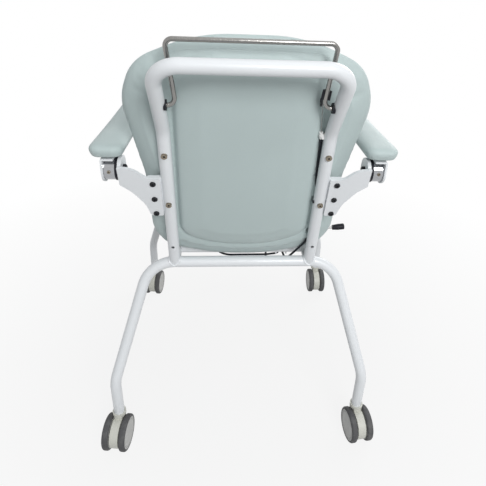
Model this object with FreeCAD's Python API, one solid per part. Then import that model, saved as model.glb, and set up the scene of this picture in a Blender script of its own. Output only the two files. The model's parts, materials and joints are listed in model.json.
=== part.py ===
import FreeCAD, Part
import math
import os

V = FreeCAD.Vector
X = V(1, 0, 0)
Y = V(0, 1, 0)
Z = V(0, 0, 1)

# Utility chair. Front faces -Y, the push handle is at +Y, +X is the occupant's left, floor at z = 0.
FIT = 0.3
RUN = 0.08

# Frame tube and its bends
TUBE_D = 30.0
TUBE_WALL = 2.0
TUBE_R = TUBE_D / 2
TRACK = 710.0
BAR_Z = 559.0
BAR_HALF = 254.0
BAR_BEND_R = 90.0
KINK_Z = 228.0
KINK_R = 110.0
LEG_RUN = 107.8
RAIL_SPARE = 47.2
RAIL_X = 187.0
UPRIGHT_X = 185.5
KINK_X = 181.5
LEAN_LOW = 15.3
LEAN_HIGH = 36.2
UPRIGHT_LOW = 432.0
UPRIGHT_HIGH = 195.0
UPRIGHT_BEND_R = 100.0
HANDLE_X = 181.5
HANDLE_R = 52.0
ACCESSORY_HOLE_D = 8.4
ACCESSORY_HOLE_S = 71.0
CLIP_HOLE_D = 5.0

# Castors
WHEEL_R = 50.0
WHEEL_W = 18.5
WHEEL_GAP = 15.0
WHEEL_EDGE_R = 6.0
TYRE_T = 6.5
HUB_SINK = 1.0
TRAIL = 25.0
CASTOR_TURN = 7.0
HOUSING_SHY = 7.0
HOUSING_GAP = 3.0
HOUSING_FLAT = 14.0
COLLAR_WALL = 3.5
COLLAR_H = 8.8
COLLAR_FLOOR = 4.2
COLLAR_FIT = 0.5
WHEEL_CLEAR = 0.8
STEM_R = 5.5
STEM_DEPTH = 34.0
PLUG_L = 45.0
AXLE_R = 4.0

# Backrest outline (half width, height along the upright, corner radius) and its section
BACK_HALF = [(107.0, 631.0, 330.0), (238.0, 573.0, 100.0), (272.5, 487.0, 140.0), (240.0, 277.0, 380.0),
             (240.0, 89.0, 105.0), (203.4, 29.2, 66.0), (67.8, -8.0, 380.0)]
COVER_T = 24.7
BOARD_T = 12.0
BOARD_INSET = 34.0
COVER_LEVELS = [(0.0, 42.0), (2.7, 26.0), (11.7, 7.0), (COVER_T, 0.0)]
CUSHION_LEVELS = [(0.0, 0.0), (16.0, 1.5), (32.0, 10.0), (44.0, 28.0), (51.0, 54.0), (53.0, 70.0)]
BULGE_SHY = 13.5
BULGE_TOP = 566.0
BULGE_CORNER = 108.0
BULGE_LOW = 62.0
BULGE_LOW_HALF = 70.0
BULGE_TAPER = 7.0
BULGE_LEVELS = [(2.7, 0.0), (-5.3, 6.0), (-13.3, 20.0), (-20.3, 42.0), (-23.3, 66.0)]
BACK_BOLT_S = (229.0, 375.0)
BOLT_D = 8.0
BOLT_HEAD_D = 14.0
BOLT_HEAD_H = 3.6

# Seat
SEAT_HALF = 235.0
SEAT_BACK_ROOM = 88.0
SEAT_LIP = 1.0
SEAT_BOARD_T = 15.0
SEAT_BOARD_R = 50.0
SEAT_OVERHANG = 15.0
SEAT_NOSE = 28.0
SEAT_CUSHION_R = 85.0
SEAT_LEVELS = [(0.0, 14.0), (7.0, 4.0), (22.0, 0.0), (45.0, 1.5), (62.0, 11.0), (73.0, 32.0), (78.0, 66.0)]
SEAT_SCREW_INSET = 45.0
SEAT_SCREW_D = 6.0

# Armrests
BRACKET_T = 8.0
BRACKET_REACH = 104.5
BRACKET_RISE = 19.0
BRACKET_BITE = 3.0
TAB_W = 35.5
TAB_BITE = 5.0
ARM_BOLT_OUT = 29.3
ARM_BOLT_LOW = 200.8
ARM_BOLT_PITCH = 46.5
ARM_BOLT_HEAD_D = 14.0
ARM_BOLT_HEAD_H = 3.4
HUB_S = 319.4
HUB_OFF = 14.0
EAR_R = 29.0
DISC_R = 29.5
DISC_T = 6.0
SLEEVE_R = 28.0
SLEEVE_L = 24.0
PIVOT_D = 12.0
PIVOT_HEAD_D = 20.0
PIVOT_NUT_D = 16.0
PIVOT_NUT_L = 6.0
STRAP_T = 4.5
STRAP_FRONT = 165.0
CHEEK_R = 32.0
PAD_SHY = 18.0
PAD_W = 78.0
PAD_REAR = 40.0
PAD_LENGTH = 420.0
PAD_BASE_T = 3.0
PAD_BASE_INSET = 19.0
PAD_CORNER = 0.32
PAD_LEVELS = [(0.0, 9.0), (4.0, 3.0), (12.0, 0.0), (22.0, 0.7), (30.0, 6.0), (34.5, 14.0), (36.5, 26.0)]

# Release bail and its cable
BAIL_D = 9.5
BAIL_UP = 86.0
BAIL_FOOT = 20.4
BAIL_SPREAD = 15.5
BAIL_RISE = 126.0
BAIL_BACK = 12.0
BAIL_FOOT_R = 15.0
BAIL_TOP_R = 13.0
BUSH_D = 13.5
BUSH_L = 14.0
BUSH_FLANGE_D = 22.0
BUSH_FLANGE_T = 2.5
BAIL_SWING = 16.0
CRANK_ARM = 18.0
CRANK_PLATE_T = 2.6
CRANK_GAP = 5.2
CLAMP_D = 19.0
CLAMP_L = 19.0
BARREL_D = 5.2
WIRE_D = 1.6
WIRE_LEAN = 25.8
WIRE_LENGTH = 83.0
WIRE_SPLAY = 11.0
SHEATH_D = 6.0
ADJUSTER_D = 8.4
ADJUSTER_L = 18.0
ADJUSTER_RIM_D = 10.4
CLIP_HEAD_D = 8.0
CABLE_APART = 4.0
TIE_W = 5.0
TIE_T = 1.5
TIE_TAIL = 16.0

# Legrest and gas spring
HINGE_REACH = 47.8
HINGE_DROP = 7.0
HINGE_TUBE_D = 22.0
HINGE_HALF = 150.0
HINGE_PIN_D = 10.0
LUG_T = 6.0
LEGREST_SWING = 70.0
LEGREST_HALF = 200.0
LEGREST_TOP = 8.0
LEGREST_LENGTH = 290.0
LEGREST_BOARD_T = 12.0
LEGREST_STRAP_X = 120.0
LEGREST_STRAP_W = 30.0
LEGREST_LEVELS = [(0.0, 10.0), (6.0, 3.0), (18.0, 0.0), (33.0, 1.5), (44.0, 11.0), (51.0, 28.0), (54.0, 48.0)]
SPRING_INSET = 34.0
SPRING_TILT = 5.0
CRANK_R = 48.0
SPRING_LENGTH = 440.0
CYLINDER_R = 11.0
SPRING_ROD_R = 5.0
SPRING_PIN_D = 8.0
SPRING_HEAD_W = 24.0
SPRING_EYE_W = 12.0
SPRING_LUG_T = 4.5
CROSS_TUBE_D = 25.0
CROSS_TUBE_BACK = 26.0

# Hand lever on the occupant's right
LEVER_AHEAD = 165.0
LEVER_OUT = 35.0
LEVER_REACH = 66.0
LEVER_RISE = 7.5
LEVER_D = 6.0
LEVER_PIN_D = 5.0
LEVER_HUB_D = 11.0
LEVER_HUB_W = 9.2
KNOB_L = 38.0
KNOB_D = 19.0
KNOB_NECK_D = 15.0
KNOB_EDGE_R = 3.0

# Derived places. The chair stands with the middle of its length at y = 0.
SIN_LOW = math.sin(math.radians(LEAN_LOW))
COS_LOW = math.cos(math.radians(LEAN_LOW))
SIN_HIGH = math.sin(math.radians(LEAN_HIGH))
COS_HIGH = math.cos(math.radians(LEAN_HIGH))
RAIL_LENGTH = SPRING_LENGTH + RAIL_SPARE
SPRING_X = SPRING_INSET - HINGE_HALF
REAR_REACH = UPRIGHT_LOW * SIN_LOW + UPRIGHT_HIGH * SIN_HIGH + TUBE_R
TURN_COS = math.cos(math.radians(CASTOR_TURN))
TURN_SIN = math.sin(math.radians(CASTOR_TURN))
WHEEL_ROUND = WHEEL_R - WHEEL_EDGE_R
WHEEL_SIDE = WHEEL_GAP + WHEEL_W - WHEEL_EDGE_R
WHEEL_AHEAD = (WHEEL_ROUND - TRAIL) * TURN_COS + WHEEL_SIDE * TURN_SIN + WHEEL_EDGE_R
FRONT_REACH = RAIL_LENGTH + LEG_RUN + WHEEL_AHEAD
REAR_BAR_Y = (FRONT_REACH - REAR_REACH) / 2
FRONT_BAR_Y = REAR_BAR_Y - RAIL_LENGTH
REAR_STEM_Y = REAR_BAR_Y + LEG_RUN
FRONT_STEM_Y = FRONT_BAR_Y - LEG_RUN
CASTORS = [("rear_left", 1, REAR_STEM_Y, -CASTOR_TURN), ("rear_right", -1, REAR_STEM_Y, CASTOR_TURN),
           ("front_left", 1, FRONT_STEM_Y, -CASTOR_TURN), ("front_right", -1, FRONT_STEM_Y, 0.0)]
BEND = V(KINK_X, REAR_BAR_Y + UPRIGHT_LOW * SIN_LOW, BAR_Z + UPRIGHT_LOW * COS_LOW)
HANDLE = V(HANDLE_X, BEND.y + UPRIGHT_HIGH * SIN_HIGH, BEND.z + UPRIGHT_HIGH * COS_HIGH)
RAIL_TOP = BAR_Z + TUBE_R
HUB_R = WHEEL_R - TYRE_T
COLLAR_LOW = 2 * WHEEL_R + WHEEL_CLEAR
COLLAR_TOP = COLLAR_LOW + COLLAR_H
LEG_END_Z = COLLAR_LOW + COLLAR_FLOOR
BACK_REAR = TUBE_R + FIT
BACK_SEAM = BACK_REAR + COVER_T
BACK_FRONT = BACK_SEAM + CUSHION_LEVELS[-1][0]
BULGE_HALF = UPRIGHT_X - TUBE_R - BULGE_SHY
ARM_BOLT_S = [ARM_BOLT_LOW + i * ARM_BOLT_PITCH for i in range(3)]
TAB_LOW = ARM_BOLT_S[0] - 1.5
TAB_HIGH = ARM_BOLT_S[2] + 13.5
TAB_IN = UPRIGHT_X + TUBE_R - TAB_BITE
BRACKET_IN = UPRIGHT_X + TUBE_R - BRACKET_BITE
BRACKET_OUT = UPRIGHT_X + BRACKET_REACH
ARM_BOLT_X = UPRIGHT_X + ARM_BOLT_OUT
BRACKET_OFF = -TUBE_R
HINGE_Y = FRONT_BAR_Y - HINGE_REACH
HINGE_Z = BAR_Z - HINGE_DROP
LEGREST_LOW = HINGE_Z - LEGREST_LENGTH
LEGREST_BACK = HINGE_Y - HINGE_TUBE_D / 2 - 1.0
LEVER_Y = REAR_BAR_Y - LEVER_AHEAD
LEVER_PIVOT = (-RAIL_X - LEVER_OUT, BAR_Z + 2.0)
LEVER_TIP = (LEVER_PIVOT[0] - LEVER_REACH, LEVER_PIVOT[1] + LEVER_RISE)
SEAT_REAR = REAR_BAR_Y - SEAT_BACK_ROOM
SEAT_FRONT = FRONT_BAR_Y - SEAT_LIP


def unit(v):
    w = V(v)
    w.normalize()
    return w


def up(x, s, off):
    """Point beside the lower upright: s along it from the crossbar, off forward of its axis."""
    return V(x, REAR_BAR_Y + s * SIN_LOW - off * COS_LOW, BAR_Z + s * COS_LOW + off * SIN_LOW)


N_FWD = V(0, -COS_LOW, SIN_LOW)


def upright_x(s):
    """Distance of the upright's axis from the middle, at s along it."""
    return UPRIGHT_X - (UPRIGHT_X - KINK_X) * s / UPRIGHT_LOW


def corner_arc(before, corner, after, r):
    """Tangent points and middle of the arc that rounds a corner."""
    a = unit(before - corner)
    b = unit(after - corner)
    half = a.getAngle(b) / 2
    reach = r / math.tan(half)
    mid = corner + unit(a + b) * (r / math.sin(half) - r)
    return corner + a * reach, mid, corner + b * reach


def bent_wire(points, radii):
    """Straight runs joined by tangent arcs."""
    edges = []
    start = points[0]
    for i, r in enumerate(radii, 1):
        p1, mid, p2 = corner_arc(points[i - 1], points[i], points[i + 1], r)
        edges.append(Part.LineSegment(start, p1).toShape())
        edges.append(Part.Arc(p1, mid, p2).toShape())
        start = p2
    edges.append(Part.LineSegment(start, points[-1]).toShape())
    return Part.Wire(edges)


def rod(points, radii, d):
    ring = Part.Wire(Part.makeCircle(d / 2, points[0], points[1] - points[0]))
    return bent_wire(points, radii).makePipeShell([ring], True, False)


def rounded(points, radii):
    """Closed flat outline with rounded corners."""
    n = len(points)
    arcs = [corner_arc(points[i - 1], points[i], points[(i + 1) % n], radii[i]) for i in range(n)]
    edges = []
    for i in range(n):
        p1, mid, p2 = arcs[i]
        edges.append(Part.Arc(p1, mid, p2).toShape())
        edges.append(Part.LineSegment(p2, arcs[(i + 1) % n][0]).toShape())
    return Part.Wire(edges)


def plate(points, radii, thickness):
    return Part.Face(rounded(points, radii)).extrude(thickness)


def mirrored(half):
    """Closed outline, anticlockwise, from a right half listed from the top down."""
    right = list(reversed(half))
    left = [(-x, y, r) for x, y, r in half]
    return right + left


def inset(outline, d):
    """Every side of an anticlockwise outline moved inward by d, corner radii following."""
    n = len(outline)
    result = []
    for i in range(n):
        x0, y0, _ = outline[i - 1]
        x1, y1, r1 = outline[i]
        x2, y2, _ = outline[(i + 1) % n]
        a = math.hypot(x1 - x0, y1 - y0)
        b = math.hypot(x2 - x1, y2 - y1)
        n1 = ((y0 - y1) / a, (x1 - x0) / a)
        n2 = ((y1 - y2) / b, (x2 - x1) / b)
        k = d / (1 + n1[0] * n2[0] + n1[1] * n2[1])
        turn = (x1 - x0) * (y2 - y1) - (y1 - y0) * (x2 - x1)
        r = max(r1 - d, 6.0) if turn > 0 else r1 + d
        result.append((x1 + (n1[0] + n2[0]) * k, y1 + (n1[1] + n2[1]) * k, r))
    return result


def pillow(outline, levels, place):
    """Soft form: a loft through the outline, drawn in level by level."""
    wires = []
    for height, d in levels:
        flat = inset(outline, d)
        wires.append(rounded([place(x, y, height) for x, y, r in flat], [r for x, y, r in flat]))
    return Part.makeLoft(wires, True, False)


def flat_block(outline, d, place, start, thickness):
    """Board with the outline drawn in by d."""
    flat = inset(outline, d)
    points = [place(x, y, start) for x, y, r in flat]
    top = place(flat[0][0], flat[0][1], start + thickness)
    return plate(points, [r for x, y, r in flat], top - points[0])


def rect(half_x, y_rear, y_front, r):
    return [(-half_x, y_front, r), (half_x, y_front, r), (half_x, y_rear, r), (-half_x, y_rear, r)]


def cyl(base, axis, r, length):
    return Part.makeCylinder(r, length, base, axis)


def box(x0, x1, y0, y1, z0, z1):
    return Part.makeBox(x1 - x0, y1 - y0, z1 - z0, V(x0, y0, z0))


def fuse(shapes):
    return shapes[0].multiFuse(shapes[1:]).removeSplitter()


def cut(shape, tools):
    for tool in tools:
        shape = shape.cut(tool)
    return shape


def end_edges(shape, centre):
    """Round edges whose centre is the given point."""
    rings = [e for e in shape.Edges if len(e.Vertexes) == 1]
    return [e for e in rings if (e.Curve.Center - centre).Length < 0.01]


def flip(shape):
    """The same piece on the other side of the chair."""
    return shape.mirror(V(0, 0, 0), X)


def group(shapes):
    return Part.makeCompound(shapes)


def leg_points(bar_y, stem_y):
    side = TRACK / 2
    down = [V(side, stem_y, LEG_END_Z), V(side, stem_y, KINK_Z), V(BAR_HALF, bar_y, BAR_Z)]
    return down + [V(-p.x, p.y, p.z) for p in reversed(down)]


def frame_pieces():
    leg_radii = [KINK_R, BAR_BEND_R, BAR_BEND_R, KINK_R]
    bore = TUBE_D - 2 * TUBE_WALL
    rear_points = leg_points(REAR_BAR_Y, REAR_STEM_Y)
    front_points = leg_points(FRONT_BAR_Y, FRONT_STEM_Y)
    rear_solid = rod(rear_points, leg_radii, TUBE_D)
    front_solid = rod(front_points, leg_radii, TUBE_D)
    rear = rear_solid.cut(rod(rear_points, leg_radii, bore))
    front = front_solid.cut(rod(front_points, leg_radii, bore))

    # Hinge lugs of the legrest stand on the front crossbar
    lug_r = HINGE_TUBE_D / 2
    lugs = []
    for side in (1, -1):
        x0 = HINGE_HALF + 1.0 if side > 0 else -(HINGE_HALF + 1.0 + LUG_T)
        eye = cyl(V(x0, HINGE_Y, HINGE_Z), X, lug_r, LUG_T)
        web = box(x0, x0 + LUG_T, HINGE_Y, FRONT_BAR_Y - TUBE_R / 3, HINGE_Z - lug_r, HINGE_Z + lug_r)
        hole = cyl(V(x0 - 1, HINGE_Y, HINGE_Z), X, HINGE_PIN_D / 2, LUG_T + 2)
        lugs.append(eye.fuse(web).cut(hole).cut(front_solid))
    front = fuse([front] + lugs)

    # Cross tube with the lugs that hold the gas spring head
    head = spring_point(0, 0)
    tube_y = head.y + CROSS_TUBE_BACK
    cross = cyl(V(-RAIL_X, tube_y, BAR_Z), X, CROSS_TUBE_D / 2, 2 * RAIL_X)
    ears = []
    eye_r = SPRING_PIN_D / 2 + 7.0
    lug_gap = SPRING_HEAD_W / 2 + 0.5
    for x0 in (SPRING_X - lug_gap - SPRING_LUG_T, SPRING_X + lug_gap):
        eye = cyl(V(x0, head.y, head.z), X, eye_r, SPRING_LUG_T)
        web = box(x0, x0 + SPRING_LUG_T, head.y, tube_y, head.z - eye_r + 2.0, head.z + eye_r)
        ears.append(eye.fuse(web))
    cross = fuse([cross] + ears)
    cross = cross.cut(cyl(V(-RAIL_X, tube_y, BAR_Z), X, CROSS_TUBE_D / 2 - TUBE_WALL, 2 * RAIL_X))
    cross = cross.cut(cyl(V(SPRING_X - 30, head.y, head.z), X, SPRING_PIN_D / 2, 60))
    cross = cut(cross, [cyl(V(s * RAIL_X, REAR_BAR_Y, BAR_Z), -Y, TUBE_R, RAIL_LENGTH) for s in (1, -1)])

    # Back uprights and push handle in one bent tube, coped onto the rear crossbar
    path = [up(UPRIGHT_X, 0, 0), BEND, HANDLE]
    path = path + [V(-p.x, p.y, p.z) for p in reversed(path)]
    radii = [UPRIGHT_BEND_R, HANDLE_R, HANDLE_R, UPRIGHT_BEND_R]
    upright_solid = rod(path, radii, TUBE_D)

    # Seat rails, coped round both crossbars and the feet of the uprights
    rails = []
    for side in (1, -1):
        end = V(side * RAIL_X, REAR_BAR_Y, BAR_Z)
        rail = cyl(end, -Y, TUBE_R, RAIL_LENGTH).cut(cyl(end, -Y, bore / 2, RAIL_LENGTH))
        rail = cut(rail, [rear_solid, front_solid, upright_solid])
        for y in seat_screw_rows():
            hole = V(side * RAIL_X, y, BAR_Z - TUBE_D)
            rail = rail.cut(cyl(hole, Z, SEAT_SCREW_D / 2 + FIT, 2 * TUBE_D))
        rails.append(rail)

    # Welded tabs that carry the armrest brackets
    tabs = []
    for side in (1, -1):
        tab_out = TAB_IN + TAB_W
        corners = ((TAB_IN, TAB_LOW), (tab_out, TAB_LOW), (tab_out, TAB_HIGH), (TAB_IN, TAB_HIGH))
        tab = plate([up(x, s, BRACKET_OFF + BRACKET_T) for x, s in corners], [3, 8, 8, 3], N_FWD * BRACKET_T)
        for s in ARM_BOLT_S:
            tab = tab.cut(cyl(up(ARM_BOLT_X, s, -TUBE_D), N_FWD, BOLT_D / 2 + FIT, 2 * TUBE_D))
        tabs.append(tab if side > 0 else flip(tab))
    handle = fuse([upright_solid] + tabs).cut(rod(path, radii, bore))
    holes = [rear_solid]
    bush = bail_pivot()
    for side in (1, -1):
        for s in BACK_BOLT_S:
            holes.append(cyl(up(side * upright_x(s), s, -TUBE_D), N_FWD, BOLT_D / 2 + FIT, 2 * TUBE_D))
        drill = up(side * upright_x(ACCESSORY_HOLE_S), ACCESSORY_HOLE_S, 0) - Y * TUBE_D
        holes.append(cyl(drill, Y, ACCESSORY_HOLE_D / 2, 2 * TUBE_D))
        holes.append(cyl(V(side * (bush_face() + TUBE_R), bush.y, bush.z), X * -side, BUSH_D / 2, TUBE_D))
    holes.append(cyl(clip_point(-TUBE_R), X, CLIP_HOLE_D / 2, TUBE_D))
    handle = cut(handle, holes)
    pieces = {"rear_leg_frame": rear, "front_leg_frame": front, "side_rail_left": rails[0],
              "side_rail_right": rails[1], "gas_spring_cross_tube": cross, "back_upright_frame": handle}
    return pieces, upright_solid


def castor_pieces(x, y, turn):
    """One castor with its trailing wheels, swivelled by turn degrees."""
    axle = V(x, y + TRAIL, WHEEL_R)
    tyres = []
    hubs = []
    for side in (1, -1):
        x0 = x + WHEEL_GAP if side > 0 else x - WHEEL_GAP - WHEEL_W
        tyre = cyl(V(x0, axle.y, axle.z), X, WHEEL_R, WHEEL_W)
        rim = [e for e in tyre.Edges if len(e.Vertexes) == 1]
        tyre = tyre.makeFillet(WHEEL_EDGE_R, rim)
        tyre = tyre.cut(cyl(V(x0 - 1, axle.y, axle.z), X, HUB_R, WHEEL_W + 2))
        tyres.append(tyre)
        h0 = x0 if side > 0 else x0 + HUB_SINK
        hub = cyl(V(h0, axle.y, axle.z), X, HUB_R, WHEEL_W - HUB_SINK)
        face = x0 + WHEEL_W - HUB_SINK if side > 0 else h0
        groove = cyl(V(face - 1.0, axle.y, axle.z), X, HUB_R - 5.0, 2.0)
        groove = groove.cut(cyl(V(face - 2.0, axle.y, axle.z), X, HUB_R - 6.5, 4.0))
        hubs.append(hub.cut(groove))
    reach = WHEEL_GAP + WHEEL_W - 6.0
    pin = cyl(V(x - reach, axle.y, axle.z), X, AXLE_R, 2 * reach)
    hubs = [hub.cut(pin) for hub in hubs]
    half = WHEEL_GAP - HOUSING_GAP
    disc = cyl(V(x - half, axle.y, axle.z), X, WHEEL_R - HOUSING_SHY, 2 * half)
    disc = disc.cut(box(x - WHEEL_R, x + WHEEL_R, axle.y - WHEEL_R, axle.y + WHEEL_R, 0, HOUSING_FLAT))
    collar_r = TUBE_R + COLLAR_FIT + COLLAR_WALL
    neck = cyl(V(x, y, WHEEL_R), Z, collar_r, COLLAR_LOW - WHEEL_R)
    neck = neck.common(box(x - half, x + half, y - 2 * collar_r, y + 2 * collar_r, WHEEL_R, COLLAR_LOW))
    collar = cyl(V(x, y, COLLAR_LOW), Z, collar_r, COLLAR_TOP - COLLAR_LOW)
    housing = fuse([disc, neck, collar])
    stem_low = LEG_END_Z - STEM_DEPTH
    housing = cut(housing, [cyl(V(x, y, LEG_END_Z - 0.7), Z, TUBE_R + COLLAR_FIT, COLLAR_H),
                            cyl(V(x, y, stem_low - 1), Z, STEM_R + RUN, STEM_DEPTH + 1),
                            cyl(V(x - reach, axle.y, axle.z), X, AXLE_R + RUN, 2 * reach)])
    stem = cyl(V(x, y, stem_low), Z, STEM_R, STEM_DEPTH + 10)
    plug = cyl(V(x, y, LEG_END_Z), Z, TUBE_R - TUBE_WALL - 0.03, PLUG_L)
    turned = []
    for shape in (housing, group(hubs + [pin]), group(tyres)):
        shape.rotate(V(x, y, 0), Z, turn)
        turned.append(shape)
    return [stem.fuse(plug).removeSplitter()] + turned


def back_pieces(upright_solid):
    outline = mirrored(BACK_HALF)
    board = flat_block(outline, BOARD_INSET, up, BACK_SEAM - BOARD_T, BOARD_T)
    bulge_half = [(BULGE_HALF - BULGE_TAPER, BULGE_TOP, 90.0), (BULGE_HALF, BULGE_CORNER, 55.0),
                  (BULGE_LOW_HALF, BULGE_LOW, 215.0)]
    cover = pillow(outline, COVER_LEVELS, lambda x, s, h: up(x, s, BACK_REAR + h))
    bulge = pillow(mirrored(bulge_half), BULGE_LEVELS, lambda x, s, h: up(x, s, BACK_REAR + h))
    cover = fuse([cover, bulge]).cut(board)
    points, radii = bail_cable_route()
    cover = cover.cut(rod(points, radii, SHEATH_D + 2 * FIT))
    cushion = pillow(outline, CUSHION_LEVELS, lambda x, s, h: up(x, s, BACK_SEAM + h))
    bolts = []
    for side in (1, -1):
        for s in BACK_BOLT_S:
            x = side * upright_x(s)
            head = cyl(up(x, s, -TUBE_R - BOLT_HEAD_H), N_FWD, BOLT_HEAD_D / 2, BOLT_HEAD_H + 3.0)
            head = head.cut(upright_solid)
            socket = cyl(up(x, s, -TUBE_R - BOLT_HEAD_H - 1), N_FWD, 2.6, 3.6)
            shank = cyl(up(x, s, -TUBE_R - 1), N_FWD, BOLT_D / 2, TUBE_R + 1 + BACK_SEAM - BOARD_T / 3)
            bolts.append(head.fuse(shank).removeSplitter().cut(socket))
            cover = cover.cut(cyl(up(x, s, 0), N_FWD, BOLT_D / 2 + 0.5, BACK_SEAM))
            board = board.cut(cyl(up(x, s, 0), N_FWD, BOLT_D / 2, BACK_SEAM - BOARD_T / 3))
    return {"back_board": board, "back_rear_cover": cover, "back_cushion": cushion,
            "back_bolts": group(bolts)}


def seat_screw_rows():
    return (SEAT_REAR - SEAT_SCREW_INSET, SEAT_FRONT + SEAT_SCREW_INSET)


def seat_pieces():
    def place(x, y, h):
        return V(x, y, RAIL_TOP + h)

    board = flat_block(rect(SEAT_HALF, SEAT_REAR, SEAT_FRONT, SEAT_BOARD_R), 0.0, place, 0.0, SEAT_BOARD_T)
    rear = up(0, 30.0, BACK_FRONT).y + 2.2
    outline = rect(SEAT_HALF + SEAT_OVERHANG, rear, SEAT_FRONT - SEAT_NOSE, SEAT_CUSHION_R)
    cushion = pillow(outline, SEAT_LEVELS, lambda x, y, h: place(x, y, h + SEAT_BOARD_T))
    screws = []
    for side in (1, -1):
        for y in seat_screw_rows():
            x = side * RAIL_X
            rail = cyl(V(x, y - TUBE_D, BAR_Z), Y, TUBE_R, 2 * TUBE_D)
            head = cyl(V(x, y, BAR_Z - TUBE_R - 4), Z, SEAT_SCREW_D, 6.0).cut(rail)
            shank = cyl(V(x, y, BAR_Z - TUBE_R - 1), Z, SEAT_SCREW_D / 2, TUBE_D + 1 + SEAT_BOARD_T - 3)
            screws.append(head.fuse(shank).removeSplitter())
            board = board.cut(cyl(V(x, y, RAIL_TOP - 1), Z, SEAT_SCREW_D / 2, SEAT_BOARD_T - 2))
    return {"seat_board": board, "seat_cushion": cushion, "seat_screws": group(screws)}


def hub_axis():
    return up(0, HUB_S, HUB_OFF)


def arm_pieces():
    hub = hub_axis()
    low, high = ARM_BOLT_S[0] - 7.8, TAB_HIGH
    foot = ARM_BOLT_X + 12.2
    span = BRACKET_OUT - foot
    edge = [(BRACKET_IN, low, 4), (foot, low, 10), (foot + 0.17 * span, low + 38, 60),
            (foot + 0.6 * span, HUB_S - 50, 80), (BRACKET_OUT, HUB_S - EAR_R, 3),
            (BRACKET_OUT, HUB_S + BRACKET_RISE, 3),
            (foot + 0.52 * span, HUB_S + BRACKET_RISE - 1, 50), (foot - 1, high, 40), (BRACKET_IN, high, 2)]
    web = plate([up(x, s, BRACKET_OFF) for x, s, r in edge], [r for x, s, r in edge], N_FWD * BRACKET_T)
    inner = BRACKET_OUT - BRACKET_T
    ear = cyl(V(inner, hub.y, hub.z), X, EAR_R, BRACKET_T)
    bridge = [up(inner, HUB_S - EAR_R + 1, BRACKET_OFF), up(inner, HUB_S + BRACKET_RISE, BRACKET_OFF),
              up(inner, HUB_S + EAR_R - 4, HUB_OFF), up(inner, HUB_S - EAR_R + 1, HUB_OFF)]
    bridge = Part.Face(Part.makePolygon(bridge + [bridge[0]])).extrude(X * BRACKET_T)
    bracket = fuse([web, ear, bridge])
    bolts = []
    back = BRACKET_OFF - ARM_BOLT_HEAD_H
    nut_off = BRACKET_OFF + 2 * BRACKET_T
    for s in ARM_BOLT_S:
        bracket = bracket.cut(cyl(up(ARM_BOLT_X, s, back), N_FWD, BOLT_D / 2 + FIT, TUBE_D))
        head = cyl(up(ARM_BOLT_X, s, back), N_FWD, ARM_BOLT_HEAD_D / 2, ARM_BOLT_HEAD_H)
        head = head.makeFillet(1.5, end_edges(head, up(ARM_BOLT_X, s, back)))
        socket = cyl(up(ARM_BOLT_X, s, back - 1), N_FWD, 2.6, 3.6)
        shank = cyl(up(ARM_BOLT_X, s, BRACKET_OFF - 1), N_FWD, BOLT_D / 2, nut_off - BRACKET_OFF + 10)
        nut = cyl(up(ARM_BOLT_X, s, nut_off), N_FWD, 0.85 * BOLT_D, 6.5)
        bolts.append(cut(fuse([head, shank, nut]), [socket]))
    bracket = bracket.cut(cyl(V(inner - 1, hub.y, hub.z), X, PIVOT_D / 2 + 0.1, BRACKET_T + 2))

    disc_x = BRACKET_OUT
    sleeve_x = disc_x + DISC_T + FIT
    cheek_x = sleeve_x + SLEEVE_L
    head_x = cheek_x + STRAP_T + FIT
    disc = cyl(V(disc_x, hub.y, hub.z), X, DISC_R, DISC_T)
    disc = disc.cut(cyl(V(disc_x - 1, hub.y, hub.z), X, PIVOT_D / 2 + 0.1, 20))
    shank_x = inner - PIVOT_NUT_L - 2.0
    pivot = cyl(V(shank_x, hub.y, hub.z), X, PIVOT_D / 2, head_x + 2 - shank_x)
    nut = cyl(V(inner - PIVOT_NUT_L, hub.y, hub.z), X, PIVOT_NUT_D / 2, PIVOT_NUT_L)
    cap = cyl(V(head_x, hub.y, hub.z), X, PIVOT_HEAD_D / 2, 6.0)
    cap = cap.makeFillet(2.0, end_edges(cap, V(head_x + 6.0, hub.y, hub.z)))
    pivot = fuse([pivot, nut, cap])

    bore = cyl(V(sleeve_x - 1, hub.y, hub.z), X, PIVOT_D / 2 + 0.1, 60)
    sleeve = cyl(V(sleeve_x, hub.y, hub.z), X, SLEEVE_R, SLEEVE_L)
    screw_x = sleeve_x + SLEEVE_L / 2
    screw = cyl(V(screw_x, hub.y + SLEEVE_R - 10, hub.z), Y, 4.0, 11.2)
    slot_y = hub.y + SLEEVE_R + 0.2
    slot = box(screw_x - 3, screw_x + 3, slot_y, slot_y + 3, hub.z - 0.6, hub.z + 0.6)
    sleeve = cut(sleeve, [bore, screw])
    screw = screw.cut(slot)

    strap_z = hub.z + SLEEVE_R
    cheek = cyl(V(cheek_x, hub.y, hub.z), X, CHEEK_R, STRAP_T)
    side = box(cheek_x, cheek_x + STRAP_T, hub.y - CHEEK_R, hub.y + CHEEK_R, hub.z, strap_z + STRAP_T)
    top = box(sleeve_x, cheek_x + STRAP_T, hub.y - STRAP_FRONT, hub.y + CHEEK_R, strap_z, strap_z + STRAP_T)
    carrier = fuse([cheek, side, top])
    corner = V(cheek_x + STRAP_T, 0, strap_z + STRAP_T)
    fold = []
    for e in carrier.Edges:
        span = e.BoundBox
        if abs(span.XMin - corner.x) + abs(span.XMax - corner.x) + abs(span.ZMin - corner.z) < 1e-3:
            fold.append(e)
    carrier = carrier.makeFillet(STRAP_T - 0.5, fold).cut(bore)

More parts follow.
